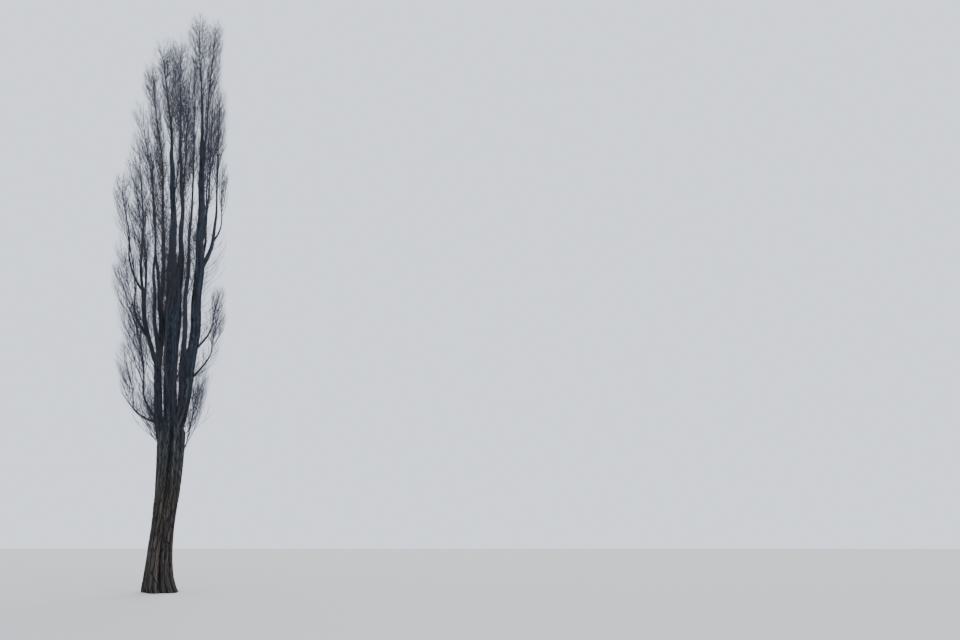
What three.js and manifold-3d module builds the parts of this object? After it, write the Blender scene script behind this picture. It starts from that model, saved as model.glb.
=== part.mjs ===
// A Lombardy poplar in winter: a tall, narrow, leafless tree with several upright leaders.
// Millimetres, +Z up. The origin is on the ground under the trunk; -Y is the front.
// The trunk and each limb is one closed solid, and so is each mass of bare twigs.
import * as THREE from "three";
import { mergeVertices } from "three/addons/utils/BufferGeometryUtils.js";
import Module from "manifold-3d";

const wasm = await Module();
wasm.setup();

// Driving dimensions of the trunk
const TRUNK_TOP = 6200; // crown of the fork, where the trunk ends
const FORK_HEIGHT = 5400; // the trunk is widest here, just under the fork
const WAIST_RADIUS = 405; // at about 1.7 m
const FORK_RADIUS_X = 545;
const FORK_RADIUS_Y = 375;
const FLARE = 215; // how far the root flare stands out at the ground
const FLARE_HEIGHT = 700;
const BUTTRESSES = 5;
const BUTTRESS_DEPTH = 0.13; // share of the radius, at the ground
const BUTTRESS_HEIGHT = 1600;
const TRUNK_BOW = -105; // how far the trunk's foot bows to the left
const BOW_HEIGHT = 3300;
const TRUNK_LEAN = 70; // how far the fork stands to the right of the foot
const TRUNK_SIDES = 28;

// Clearances
const GAP = 0.3; // between a limb and what carries it
const TWIG_ROOM = 12; // between a twig and any limb
const TERRITORY = 0.07; // between two masses, as a share of their spread

// Twig rule
const STALK_RADIUS = 20;
const STALK_TIP_RADIUS = 9;
const STALK_SHARE = 0.5; // how much of its limb's tip a stalk carries on, over its own radius
const TWIG_RADIUS = 15;
const TWIG_SHARE = 0.55; // a twig is at most this share of its stalk
const FIRST_TWIG = 0.03; // share of the stalk's height
const LAST_TWIG = 0.9;
const GOLDEN_ANGLE = 137.508;
const TWIG_SWEEP = 2.2;
const TWIGS_PER_METRE = 1.86; // of stalk, for a mass of ordinary spread
const ORDINARY_SPREAD = 650;
const TWIG_SAMPLES = 8;

// Wander of a limb's middle line
const WANDER = 38;
const WANDER_LENGTH = 520; // the height in which the wave turns by one radian

const BARK = { color: 0x6f665a, roughness: 0.95, metalness: 0 };
const SHOOTS = { color: 0x7d6a58, roughness: 0.9, metalness: 0 };

// A repeatable number from 0 to 1 for a mass, a twig and a use.
function chance(mass, twig, use) {
  let h = Math.imul(mass + 1, 0x9e3779b1);
  h ^= Math.imul(twig + 1, 0x85ebca77);
  h ^= Math.imul(use + 1, 0xc2b2ae3d);
  h = Math.imul(h ^ (h >>> 15), 0x2c1b3c6d);
  h = Math.imul(h ^ (h >>> 12), 0x297a2d39);
  return ((h ^ (h >>> 15)) >>> 0) / 4294967296;
}

// The level direction of a heading: 0 degrees is to the right, 90 to the back.
function bearing(degrees) {
  const a = THREE.MathUtils.degToRad(degrees);
  return new THREE.Vector3(Math.cos(a), Math.sin(a), 0);
}

// The way every limb grows: out along its heading, quickly at first, while it rises at an even
// rate, with a lean that builds up late and a slight wander on the way. Height is even in t, so
// a height gives t directly.
class Growth extends THREE.Curve {
  constructor({ foot, heading = 0, reach = 0, rise, sweep = 2.2, lean = [0, 0], bend = 3, wander = 0 }) {
    super();
    Object.assign(this, { foot, out: bearing(heading), reach, rise, sweep, bend, wander });
    this.lean = new THREE.Vector3(lean[0], lean[1], 0);
    this.side = bearing(heading + 90);
    this.phase = THREE.MathUtils.degToRad(heading * 7 + foot.z / 20);
  }

  getPoint(t, target = new THREE.Vector3()) {
    const outward = this.reach * (1 - (1 - t) ** this.sweep);
    const late = this.bend === 0 ? t * t * (3 - 2 * t) : t ** this.bend;
    const wave = (this.rise * t) / WANDER_LENGTH + this.phase;
    const strength = this.wander * Math.sin(Math.PI * t);
    return target.copy(this.foot).addScaledVector(this.out, outward + strength * Math.sin(wave))
      .addScaledVector(this.side, strength * Math.cos(1.3 * wave))
      .addScaledVector(this.lean, late)
      .add(new THREE.Vector3(0, 0, this.rise * t));
  }

  slope(t) {
    const step = 1e-3;
    const a = Math.max(0, t - step);
    const b = Math.min(1, t + step);
    return this.getPoint(b).sub(this.getPoint(a)).normalize();
  }

  atHeight(z) {
    return this.getPoint((z - this.foot.z) / this.rise);
  }
}

// A three.js geometry as a manifold solid, with its shared vertices merged.
function solid(geometry) {
  geometry.deleteAttribute("uv");
  geometry.deleteAttribute("normal");
  const merged = mergeVertices(geometry, 1e-3);
  const vertProperties = merged.attributes.position.array;
  const triVerts = new Uint32Array(merged.index.array);
  return new wasm.Manifold(new wasm.Mesh({ numProp: 3, vertProperties, triVerts }));
}

// A unit cylinder laid along a growth curve. radius(t) is its size; a radius of 0 at t = 1 gives
// a point. spacing above 1 puts more rings near the foot. firstSlope turns the foot's face, so that
// it lies flat on what it meets, and longer carries the tip's face that much further.
function limbSolid(growth, radius, sides, steps, { spacing = 1, firstSlope = null, longer = 0 } = {}) {
  const pointed = radius(1) === 0;
  const tube = new THREE.CylinderGeometry(pointed ? 0 : 1, 1, 1, sides, steps);
  const position = tube.attributes.position;
  const v = new THREE.Vector3();
  for (let i = 0; i < position.count; i++) {
    v.fromBufferAttribute(position, i);
    const t = (v.y + 0.5) ** spacing;
    const along = v.y < -0.499 && firstSlope ? firstSlope : growth.slope(t);
    const across = new THREE.Vector3().crossVectors(along, growth.side).normalize();
    const side = new THREE.Vector3().crossVectors(across, along).normalize();
    const ring = Math.hypot(v.x, v.z);
    const size = ring > 1e-6 ? radius(t) / ring : 0;
    const point = growth.getPoint(t).addScaledVector(side, v.x * size).addScaledVector(across, -v.z * size);
    if (t > 0.999) point.addScaledVector(along, longer);
    position.setXYZ(i, point.x, point.y, point.z);
  }
  return solid(tube);
}

function smooth(low, high, value) {
  return THREE.MathUtils.smoothstep(value, low, high);
}

// The trunk's middle line bows to the left, most of all at a quarter of the bow's height, and
// leans to the right above it.
function trunkCentre(z) {
  const bow = TRUNK_BOW * Math.sin(Math.PI * Math.sqrt(Math.min(1, z / BOW_HEIGHT)));
  return bow + TRUNK_LEAN * smooth(1500, 4500, z);
}

// The trunk's size toward an angle: a waist, a root flare with buttresses, and an oval head.
function trunkRadius(angle, z) {
  const widening = smooth(1700, FORK_HEIGHT, z);
  const headX = THREE.MathUtils.lerp(WAIST_RADIUS, FORK_RADIUS_X, widening);
  const headY = THREE.MathUtils.lerp(WAIST_RADIUS, FORK_RADIUS_Y, widening);
  const oval = 1 / Math.hypot(Math.cos(angle) / headX, Math.sin(angle) / headY);
  const flare = FLARE * Math.exp(-z / FLARE_HEIGHT);
  const buttress = BUTTRESS_DEPTH * Math.exp(-z / BUTTRESS_HEIGHT) * Math.cos(BUTTRESSES * angle + Math.PI);
  const ribs = 1 + buttress + 0.03 * (1 - widening) * Math.cos(3 * angle + z / 1900);
  const height = Math.max(0, (z - FORK_HEIGHT) / (TRUNK_TOP - FORK_HEIGHT));
  const dome = Math.sqrt(1.08 - height ** 2) / Math.sqrt(1.08);
  return (oval + flare) * ribs * dome;
}

// Heights of the trunk's rings, closest together at the flare and at the rounded head
const TRUNK_RINGS = [
  0, 150, 350, 650, 1050, 1600, 2300, 3100, 3900, 4700, FORK_HEIGHT, 5750, 6000, TRUNK_TOP,
];

// The trunk as a solid, or a copy of it that is larger all round by grow.
function trunkSolid(grow = 0) {
  const tube = new THREE.CylinderGeometry(1, 1, 1, TRUNK_SIDES, TRUNK_RINGS.length - 1);
  const position = tube.attributes.position;
  const v = new THREE.Vector3();
  for (let i = 0; i < position.count; i++) {
    v.fromBufferAttribute(position, i);
    const ring = Math.round((v.y + 0.5) * (TRUNK_RINGS.length - 1));
    const z = TRUNK_RINGS[ring];
    const angle = Math.atan2(-v.z, v.x);
    const size = Math.hypot(v.x, v.z) > 1e-6 ? trunkRadius(angle, z) + grow : 0;
    const above = ring === TRUNK_RINGS.length - 1 ? grow : 0;
    position.setXYZ(i, trunkCentre(z) + size * Math.cos(angle), size * Math.sin(angle), z + above);
  }
  return solid(tube);
}

// Limbs. from, leaves: the limb that carries it and the height where it leaves that limb's middle
// line. heading: degrees, 0 to the right and 90 to the back. thick, thin: radius at foot and tip.
// hold: above 1 the limb keeps its girth for longer. slim: the share of its girth that is left
// above the height where it forks. crown: the twigs that carry on from its tip.
const LIMBS = [
  { name: "right_leader", from: "trunk", leaves: 4700, heading: 0, reach: 900, sweep: 4.6,
    rise: 16100, lean: [-170, 60], thick: 235, thin: 110, hold: 2,
    crown: { rise: 10000, drift: [-450, 120], spread: 820 } },
  { name: "centre_stem", from: "trunk", leaves: 4700, heading: 190, reach: 200, sweep: 6, rise: 15100,
    lean: [-590, -180], bend: 2.4, thick: 290, thin: 100, hold: 1.3, forks: 10400, slim: 0.78,
    crown: { rise: 7700, drift: [-800, -320], spread: 800 } },
  { name: "left_stem", from: "trunk", leaves: 4600, heading: 180, reach: 690, sweep: 12, rise: 12300,
    lean: [-380, -80], thick: 195, thin: 62, hold: 0.9, forks: 10000, slim: 0.72,
    crown: { rise: 9500, drift: [-1060, -260], spread: 760 } },
  { name: "inner_stem", from: "right_leader", leaves: 6300, heading: 194, reach: 80, sweep: 6, rise: 10900,
    lean: [120, -140], bend: 1.2, thick: 152, thin: 50, hold: 0.7,
    crown: { rise: 9900, drift: [-190, -150], spread: 680 } },
  { name: "fork_stem", from: "centre_stem", leaves: 7900, heading: 25, reach: 220, sweep: 7, rise: 12900,
    lean: [-470, 220], thick: 190, thin: 72, hold: 0.65,
    crown: { rise: 8600, drift: [-380, 330], spread: 740 } },
  { name: "left_bough", from: "left_stem", leaves: 8300, heading: 180, reach: 1100, sweep: 2.4, rise: 6300,
    lean: [-90, 120], thick: 95, thin: 54, crown: { rise: 6900, drift: [-680, 200], spread: 720 } },
  { name: "left_upper_bough", from: "left_stem", leaves: 10300, heading: 190, reach: 420, sweep: 2.5,
    rise: 5700, lean: [-330, -120], thick: 80, thin: 46,
    crown: { rise: 7300, drift: [-1020, -150], spread: 640 } },
  { name: "right_upper_bough", from: "right_leader", leaves: 18800, heading: 340, reach: 200, sweep: 2.5,
    rise: 3400, thick: 85, thin: 50, crown: { rise: 7500, drift: [320, -260], spread: 540 } },
  { name: "right_bough", from: "right_leader", leaves: 13000, heading: 5, reach: 700, rise: 3500,
    thick: 110, thin: 55, crown: { rise: 8400, drift: [20, 180], spread: 500 } },
  { name: "right_inner_bough", from: "right_leader", leaves: 14200, heading: 318, reach: 520, rise: 3200,
    thick: 75, thin: 42, crown: { rise: 7400, drift: [80, -320], spread: 560 } },
  { name: "right_outer_bough", from: "right_bough", leaves: 14700, heading: 20, reach: 420, sweep: 2,
    rise: 1200, thick: 48, thin: 30, crown: { rise: 3900, drift: [-20, 60], spread: 360 } },
  { name: "right_low_bough", from: "right_leader", leaves: 9000, heading: 5, reach: 880, sweep: 1.6,
    rise: 1400, thick: 45, thin: 26, crown: { rise: 1700, drift: [240, 50], spread: 360 } },
  { name: "right_lowest_bough", from: "right_leader", leaves: 7700, heading: 348, reach: 1000, sweep: 1.5,
    rise: 1300, thick: 50, thin: 28, crown: { rise: 2000, drift: [300, -90], spread: 420 } },
  { name: "left_low_bough", from: "left_bough", leaves: 9700, heading: 172, reach: 780, sweep: 1.9,
    rise: 1800, thick: 70, thin: 40, crown: { rise: 5500, drift: [-900, 60], spread: 620 } },
  { name: "left_outer_bough", from: "left_bough", leaves: 12000, heading: 186, reach: 800, sweep: 1.9,
    rise: 2100, thick: 70, thin: 40, crown: { rise: 4200, drift: [-700, -50], spread: 600 } },
  { name: "left_foot_bough", from: "left_stem", leaves: 5900, heading: 198, reach: 740, sweep: 1.4,
    rise: 1300, thick: 58, thin: 36, crown: { rise: 7000, drift: [-1300, -150], spread: 740 } },
  { name: "left_side_bough", from: "left_stem", leaves: 5950, heading: 170, reach: 1180, sweep: 1.9,
    rise: 820, thick: 40, thin: 24, crown: { rise: 2700, drift: [-620, 60], spread: 500 } },
  { name: "front_stem", from: "centre_stem", leaves: 7000, heading: 281, reach: 980, sweep: 3,
    rise: 7900, thick: 150, thin: 55, crown: { rise: 9900, drift: [60, -360], spread: 800 } },
  { name: "back_stem", from: "centre_stem", leaves: 7200, heading: 121, reach: 1080, sweep: 3,
    rise: 8700, thick: 150, thin: 55, crown: { rise: 10100, drift: [330, 340], spread: 820 } },
  { name: "front_right_bough", from: "right_leader", leaves: 10400, heading: 282, reach: 900,
    rise: 4600, thick: 105, thin: 50, crown: { rise: 8600, drift: [20, -420], spread: 700 } },
  { name: "back_right_bough", from: "right_leader", leaves: 11600, heading: 75, reach: 900,
    rise: 4600, thick: 105, thin: 50, crown: { rise: 9000, drift: [-20, 430], spread: 690 } },
  { name: "front_left_bough", from: "left_stem", leaves: 8900, heading: 252, reach: 1050,
    rise: 4300, thick: 95, thin: 48, crown: { rise: 6800, drift: [-560, -500], spread: 720 } },
  { name: "back_left_bough", from: "left_stem", leaves: 9700, heading: 108, reach: 1050,
    rise: 4500, thick: 95, thin: 48, crown: { rise: 7000, drift: [-560, 600], spread: 740 } },
  { name: "front_low_bough", from: "centre_stem", leaves: 6300, heading: 258, reach: 1080, sweep: 2,
    rise: 3300, thick: 80, thin: 42, crown: { rise: 5900, drift: [-40, -600], spread: 740 } },
  { name: "back_low_bough", from: "centre_stem", leaves: 6300, heading: 95, reach: 1180, sweep: 2,
    rise: 3300, thick: 80, thin: 42, crown: { rise: 6200, drift: [0, 640], spread: 760 } },
  { name: "front_low_right_bough", from: "right_leader", leaves: 7900, heading: 264, reach: 1150, sweep: 2,
    rise: 2900, thick: 75, thin: 40, crown: { rise: 5700, drift: [60, -650], spread: 600 } },
  { name: "back_low_right_bough", from: "right_leader", leaves: 8800, heading: 97, reach: 1150, sweep: 2,
    rise: 2900, thick: 75, thin: 40, crown: { rise: 5700, drift: [60, 600], spread: 600 } },
  { name: "front_low_left_bough", from: "left_bough", leaves: 9200, heading: 250, reach: 950, sweep: 2,
    rise: 2600, thick: 70, thin: 38, crown: { rise: 5600, drift: [-700, -700], spread: 660 } },
  { name: "back_low_left_bough", from: "left_bough", leaves: 10200, heading: 110, reach: 1000, sweep: 2,
    rise: 2600, thick: 70, thin: 38, crown: { rise: 5500, drift: [-700, 650], spread: 660 } },
];

// Shoots that spring from the trunk itself, under the right-hand leader.
const TRUNK_SHOOTS = {
  name: "trunk_shoots", height: 4600, heading: 0, rise: 3900, drift: [400, 120], spread: 440,
};
const SHOOTS_STEP_OUT = 480; // how far their stalk swings out from where it starts
const SHOOTS_DEPTH = 150; // how deep in the trunk it starts

// Build of a limb
const COLLAR = 0.3; // how much a bough swells where it leaves the limb that carries it
const COLLAR_LENGTH = 350;
const CARRIED_SHARE = 0.92; // a limb's foot is at most this share of the limb that carries it
const BIG_LIMB = 120; // a limb thicker than this at its foot has more sides
const BIG_SIDES = 9;
const SMALL_SIDES = 6;
const STEP_LENGTH = 1500;

for (const limb of LIMBS) {
  const carrier = LIMBS.find((other) => other.name === limb.from);
  const foot = carrier
    ? carrier.growth.atHeight(limb.leaves)
    : new THREE.Vector3(trunkCentre(limb.leaves), 0, limb.leaves);
  limb.growth = new Growth({ ...limb, foot, wander: Math.min(WANDER, limb.rise / 90) });
  const { thin, hold = 1, rise, slim = 1, forks = 0 } = limb;
  const widest = carrier ? (CARRIED_SHARE * carrier.radiusAtHeight(foot.z)) / (1 + COLLAR) : limb.thick;
  const thick = Math.min(limb.thick, widest);
  limb.radius = (t) => {
    const left = THREE.MathUtils.lerp(1, slim, smooth(forks - 500, forks + 2500, foot.z + t * rise));
    const collar = 1 + (carrier ? COLLAR * Math.exp((-t * rise) / COLLAR_LENGTH) : 0);
    return (thin + (thick * left - thin) * (1 - t ** hold)) * collar;
  };
  limb.radiusAtHeight = (z) => limb.radius((z - foot.z) / rise);
  limb.sides = thick > BIG_LIMB ? BIG_SIDES : SMALL_SIDES;
  limb.steps = Math.max(5, Math.round(rise / STEP_LENGTH));
}

// The limb as a solid, or a copy of it that is larger all round by grow.
function grownLimb(limb, grow = 0) {
  const shell = grow / Math.cos(Math.PI / limb.sides);
  const radius = (t) => limb.radius(t) + shell;
  return limbSolid(limb.growth, radius, limb.sides, limb.steps, { spacing: 1.25, longer: grow });
}

function largestBody(shape) {
  return shape.decompose().reduce((a, b) => (a.volume() > b.volume() ? a : b));
}

// Each limb is cut clear of the trunk and of the limbs before it.
const trunk = trunkSolid();
const trunkRoom = trunkSolid(GAP * 1.2);
const rooms = [trunkRoom];
for (const limb of LIMBS) {
  let shape = grownLimb(limb);
  for (const room of rooms) shape = shape.subtract(room);
  limb.shape = largestBody(shape);
  rooms.push(grownLimb(limb, GAP));
}

// Points along every limb with the limb's radius, to keep twigs off them.
const SAMPLE_STEP = 120;

const limbSamples = LIMBS.flatMap((limb) => {
  const count = Math.ceil(limb.growth.getLength() / SAMPLE_STEP);
  return Array.from({ length: count + 1 }, (_, i) => ({
    point: limb.growth.getPoint(i / count),
    radius: limb.radius(i / count),
  }));
});

// The half width of a mass at a share u of its height: narrow at the foot, full at two thirds,
// and rounded in to the tip.
function massWidth(u) {
  return 1.22 * u ** 0.55 * Math.sqrt(Math.max(0, 1 - u ** 5)) + 0.06;
}

// A mass stands on a stalk that carries its limb on, gap clear of the limb's tip.
const masses = LIMBS.map((limb) => {
  const along = limb.growth.slope(1);
  const foot = limb.growth.getPoint(1).addScaledVector(along, GAP);
  const thick = Math.min(limb.thin * 0.92, STALK_RADIUS + limb.thin * STALK_SHARE);
  return { name: `${limb.name}_twigs`, foot, along, thick, stepOut: 0, ...limb.crown };
});

// The trunk's own shoots start inside it, and are cut clear of it later.
const shootsOut = bearing(TRUNK_SHOOTS.heading);
const shootsAngle = THREE.MathUtils.degToRad(TRUNK_SHOOTS.heading);
const shootsReach = trunkRadius(shootsAngle, TRUNK_SHOOTS.height) - SHOOTS_DEPTH;
masses.push({
  ...TRUNK_SHOOTS,
  foot: shootsOut.clone().multiplyScalar(shootsReach).setZ(TRUNK_SHOOTS.height),
  along: shootsOut,
  thick: STALK_RADIUS,
  stepOut: SHOOTS_STEP_OUT - SHOOTS_DEPTH,
});

for (const mass of masses) {
  const { foot, thick, stepOut, drift } = mass;
  mass.growth = new Growth({
    foot, reach: stepOut, rise: mass.rise - GAP, lean: drift, bend: 0, sweep: 12,
  });
  mass.radius = (t) => thick + (STALK_TIP_RADIUS - thick) * t;
}

// How far a point is from a mass's stalk, as a share of the mass's spread, or Infinity off its ends.
function remoteness(mass, point) {
  const t = (point.z - mass.growth.foot.z) / mass.growth.rise;
  if (t < -0.03 || t > 1.02) return Infinity;
  const stalk = mass.growth.getPoint(THREE.MathUtils.clamp(t, 0, 1));
  return Math.hypot(point.x - stalk.x, point.y - stalk.y) / mass.spread;
}

function touchesLimb(point, radius) {
  return limbSamples.some((sample) => {
    const room = sample.radius + radius + TWIG_ROOM;
    return sample.point.distanceTo(point) < Math.hypot(room, SAMPLE_STEP / 2);
  });
}

function keepsItsSpace(growth, radius, mass) {
  for (let i = 1; i <= TWIG_SAMPLES; i++) {
    const t = i / TWIG_SAMPLES;
    const point = growth.getPoint(t);
    const own = remoteness(mass, point);
    if (own > 1.02) return false;
    if (touchesLimb(point, radius(t))) return false;
    for (const other of masses) {
      if (other !== mass && remoteness(other, point) < own + TERRITORY) return false;
    }
  }
  return true;
}

// The twigs of one mass: up the stalk by the golden angle, each sweeping out and then straight
// up, to a tip inside the mass's outline. A twig that can't keep its space is tried shorter, then
// skipped.
function twigsOf(mass, index) {
  const fullness = TWIGS_PER_METRE * Math.sqrt(mass.spread / ORDINARY_SPREAD);
  const count = Math.round((mass.rise / 1000) * fullness + 3);
  const twigs = [];
  for (let k = 0; k < count; k++) {
    const t = FIRST_TWIG + (LAST_TWIG - FIRST_TWIG) * ((k + 0.5 * chance(index, k, 0)) / count);
    const heading = k * GOLDEN_ANGLE + 40 * chance(index, k, 1) + 57 * index;
    const fullRise = mass.rise * (1 - t) * (0.42 + 0.3 * chance(index, k, 2));
    for (const share of [1, 0.75, 0.5]) {
      const rise = share * THREE.MathUtils.clamp(fullRise, 450, 3200);
      const u = Math.min(0.985, t + rise / mass.rise);
      const reach = share * mass.spread * massWidth(u) * (0.7 + 0.28 * chance(index, k, 3));
      const foot = mass.growth.getPoint(t);
      const slip = mass.growth.getPoint(u).sub(foot);
      const lean = [slip.x, slip.y];
      const growth = new Growth({ foot, heading, reach, rise, sweep: TWIG_SWEEP, lean, bend: 1 });
      const thick = Math.min(TWIG_RADIUS, mass.radius(t) * TWIG_SHARE);
      const radius = (s) => (s >= 1 ? 0 : thick * (1 - 0.75 * s));
      if (keepsItsSpace(growth, radius, mass)) {
        twigs.push(limbSolid(growth, radius, 3, 2));
        break;
      }
    }
  }
  return twigs;
}

function massSolid(mass, index) {
  const stalkRadius = (t) => (t >= 1 ? 0 : mass.radius(t));
  const stalk = limbSolid(mass.growth, stalkRadius, 4, 6, { firstSlope: mass.along });
  const shape = wasm.Manifold.union([stalk, ...twigsOf(mass, index)]);
  return largestBody(shape.subtract(trunkRoom));
}

function node(name, shape, finish) {
  const { vertProperties, triVerts } = shape.getMesh();
  const geometry = new THREE.BufferGeometry();
  geometry.setAttribute("position", new THREE.BufferAttribute(vertProperties, 3));
  geometry.setIndex(new THREE.BufferAttribute(triVerts, 1));
  geometry.computeVertexNormals();
  const mesh = new THREE.Mesh(geometry, new THREE.MeshStandardMaterial(finish));
  mesh.name = name;
  return mesh;
}

const tree = new THREE.Group();
tree.add(node("trunk", trunk, BARK));
for (const limb of LIMBS) tree.add(node(limb.name, limb.shape, BARK));
masses.forEach((mass, index) => tree.add(node(mass.name, massSolid(mass, index), SHOOTS)));

export default tree;
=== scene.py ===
import math

import bpy
import numpy as np
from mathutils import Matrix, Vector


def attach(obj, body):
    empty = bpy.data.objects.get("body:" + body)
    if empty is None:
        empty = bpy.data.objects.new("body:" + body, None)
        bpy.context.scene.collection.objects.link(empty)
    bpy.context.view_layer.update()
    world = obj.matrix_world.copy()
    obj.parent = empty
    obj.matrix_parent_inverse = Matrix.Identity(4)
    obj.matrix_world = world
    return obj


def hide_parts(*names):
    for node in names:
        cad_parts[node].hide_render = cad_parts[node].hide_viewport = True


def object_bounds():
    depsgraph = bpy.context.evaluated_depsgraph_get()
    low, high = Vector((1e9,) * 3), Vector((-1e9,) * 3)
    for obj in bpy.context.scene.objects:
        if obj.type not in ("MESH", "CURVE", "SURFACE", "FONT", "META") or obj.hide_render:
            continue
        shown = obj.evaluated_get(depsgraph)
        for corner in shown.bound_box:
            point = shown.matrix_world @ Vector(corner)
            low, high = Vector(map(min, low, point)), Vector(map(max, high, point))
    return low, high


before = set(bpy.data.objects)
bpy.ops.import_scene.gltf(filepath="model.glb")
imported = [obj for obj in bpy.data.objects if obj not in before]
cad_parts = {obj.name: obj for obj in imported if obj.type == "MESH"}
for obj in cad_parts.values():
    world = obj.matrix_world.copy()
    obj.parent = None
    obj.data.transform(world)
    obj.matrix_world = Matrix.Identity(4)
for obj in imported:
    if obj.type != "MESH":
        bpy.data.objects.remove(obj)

CAD_BOX = [list(corner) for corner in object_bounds()]

# A Lombardy poplar in winter, in metres, +Z up, the origin on the ground under the trunk.
# The limbs and the twigs grow by the same rule and from the same sizes as the solids.

# The trunk. The flare and the buttresses fall off over their heights.
TRUNK_TOP = 6.2
FORK_HEIGHT = 5.4
WAIST_RADIUS = 0.405
FORK_RADIUS = (0.545, 0.375)  # across and in depth
WIDENS_FROM = 1.7
FLARE, FLARE_HEIGHT = 0.215, 0.7
BUTTRESSES, BUTTRESS_DEPTH, BUTTRESS_HEIGHT = 5, 0.13, 1.6
SWELLINGS, SWELLING_DEPTH, SWELLING_TURN = 3, 0.03, 1.9  # broad ones that wind up the waist
HEAD_ROUNDING = 1.08
TRUNK_BOW, BOW_HEIGHT = -0.105, 3.3
TRUNK_LEAN, LEAN_HEIGHTS = 0.07, (1.5, 4.5)
TRUNK_AROUND, TRUNK_RINGS, RING_CROWDING = 312, 280, 1.08

# The trunk's relief, in the scene alone: waves round the trunk, which make two ribs or flutes
# each, shifted by the drift of cloud noise, and less a level that keeps their mean near nil.
RIBS, RIB_DEPTH, RIB_DRIFT = 8.5, 0.042, 2.6
RIB_SWAY, RIB_SWAY_HEIGHT = 0.5, 1.1
FLUTES, FLUTE_DEPTH, FLUTE_DRIFT, FLUTE_TURN = 4.0, 0.034, 1.9, 1.1
RIB_ROUNDNESS, RIB_LEVEL = 0.8, 0.6
FLUTE_ROUNDNESS, FLUTE_LEVEL = 0.6, 0.66
DRIFT_CELL = (0.6, 0.6, 1.3)
RIB_KEPT, RIB_FADES, RIB_FADE_HEIGHT = 0.45, 0.55, 3.2
HEAD_ABOVE_FORK = 0.2  # from here up ribs, flutes and seams fade out
SEAM_WIDTH, SEAM_DEPTH, SEAM_HEIGHTS = 0.17, 0.06, (2.0, 4.8)
SEAM_HEADING, SEAM_TURN, SEAM_TURNS_FROM = -6, 14, 3.2  # degrees from straight front and back
# The rib values paint shade into the trunk's bark: the lower the value, the darker the painted
# shade in its flutes and seams.
RIB_VALUE, RIB_SHARE, FLUTE_SHARE, SEAM_SHARE = 0.6, 0.9, 0.6, 0.7  # how they darken the bark
OLD_BARK_SPACING, OLD_BARK_DEPTH, OLD_BARK_LEVEL, HEAD_BARK_SHARE = 0.052, 0.02, 0.7, 0.4

# The bark of any limb: plates, 11 times as long as they are wide, that swing and wobble by
# shares of their width in cells of cloud noise as large, with a finer grain
PLATE_LENGTH = 11
LEAST_PLATES_ROUND = 7
SWING, SWING_CELL = 1.3, (4, 4, 12)
WOBBLE, WOBBLE_CELL = 0.8, (1.3, 1.3, 3)
SHIFT_ALONG = 1.2
GRAIN_CELL = (0.012, 0.012, 0.06)
FURROW_SHARE = 0.3  # how far in from its edge a plate is rounded down
LOWEST_PLATE, PLATE_STEP, GRAIN_MIDDLE, GRAIN_STEP = 0.85, 0.15, 0.9, 0.2
END_VALUE = 0.5  # the value of each kind of relief in the middle of a tube's end
LATTICE_MIDDLE = 4096
TRUNK_DRIFT_SEED, LIMB_DRIFT_SEED, LUMP_SEED, TRUNK_BARK_SEED, LIMB_BARK_SEED = 11, 12, 13, 20, 40

# The limbs' build
WANDER, WANDER_LENGTH, RISE_TO_WANDER = 0.038, 0.52, 90
PHASE_BY_HEADING, PHASE_BY_HEIGHT, SIDEWAYS_PACE = 7, 50, 1.3
LIMB_SWEEP, LIMB_BEND = 2.2, 3
COLLAR, COLLAR_LENGTH, CARRIED_SHARE = 0.3, 0.35, 0.92
SLIMS_BEFORE_FORK, SLIMS_AFTER_FORK = 0.5, 2.5

# The limbs' relief, in the scene alone, as shares of their radius, and their surface's grid:
# points round it for each metre of its foot's radius, and steps along it as shares of that
LIMB_RIBS, LIMB_RIB_DRIFT, LIMB_RIB_TURN, LIMB_RIB_DEPTH = 3.5, 2, 2.3, 0.09
LIMB_DRIFT_CELL = (0.3, 0.3, 0.9)
LIMB_LUMPS, LUMP_CELL = 0.05, (0.16, 0.16, 0.3)
YOUNG_RADIUS, OLD_RADIUS = 0.03, 0.2
YOUNG_DEPTH, DEPTH_WITH_AGE, DEPTH_LIMITS, LIMB_BARK_LEVEL = 0.035, 0.045, (0.0007, 0.016), 0.62
LIMB_BARK_SPACING, SPACING_LIMITS = 0.26, (0.016, 0.048)
# The limbs' rib values paint shade between their ribs, and the stalks take the middle value, an
# even share of it.
LIMB_RIB_VALUE, LIMB_RIB_SHARE, STALK_RELIEF = 0.5, 0.8, 0.7
LIMB_AROUND, LIMB_AROUND_LIMITS, FOOT_SHARE = 330, (16, 84), 0.12
LIMB_STEP, LIMB_STEP_LIMITS, STEP_CROWDING = 0.14, (0.016, 0.036), 1.1

# The twigs' rule, as in the solids. A twig's rise is a share of the stalk left above it, and its
# reach is a share of its mass's spread. Here and below, a random draw adds what is named MORE or
# lively, and, in degrees, TWIG_TURN, SHOOT_TURN and FINE_TURN. MASS_TURN turns each mass on from
# the last.
STALK_GAP = 0.0003
STALK_RADIUS, STALK_TIP_RADIUS, STALK_SHARE, MOST_OF_TIP = 0.02, 0.009, 0.5, 0.92
STALK_SWEEP, STALK_WANDER, SWELL_LENGTH = 12, 0.012, 0.5
STALK_SIDES, STALK_RINGS, STALK_CROWDING = 8, 60, 1.2
TIP_SLIMNESS, SLIM_FROM = 0.5, 0.75
TWIG_RADIUS, TWIG_SHARE = 0.015, 0.55
FIRST_TWIG, GOLDEN_ANGLE, TWIG_TURN, MASS_TURN, TWIG_SWEEP = 0.03, 137.508, 40, 57, 2.2
TWIGS_PER_METRE, ORDINARY_SPREAD, SPARE_TWIGS = 1.86, 0.65, 3
TWIG_RISE, TWIG_RISE_LIMITS, HIGHEST_TIP = 0.42, (0.45, 3.2), 0.985
TWIG_REACH, TWIG_REACH_MORE = 0.7, 0.28
TWIG_SAMPLES, TWIG_ROOM, TERRITORY, OWN_REACH = 8, 0.012, 0.07, 1.02
SHORTER_TRIES = (1, 0.75, 0.5)
MASS_ENDS = (-0.03, 1.02)
TRUNK_ROOM = 0.1
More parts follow.
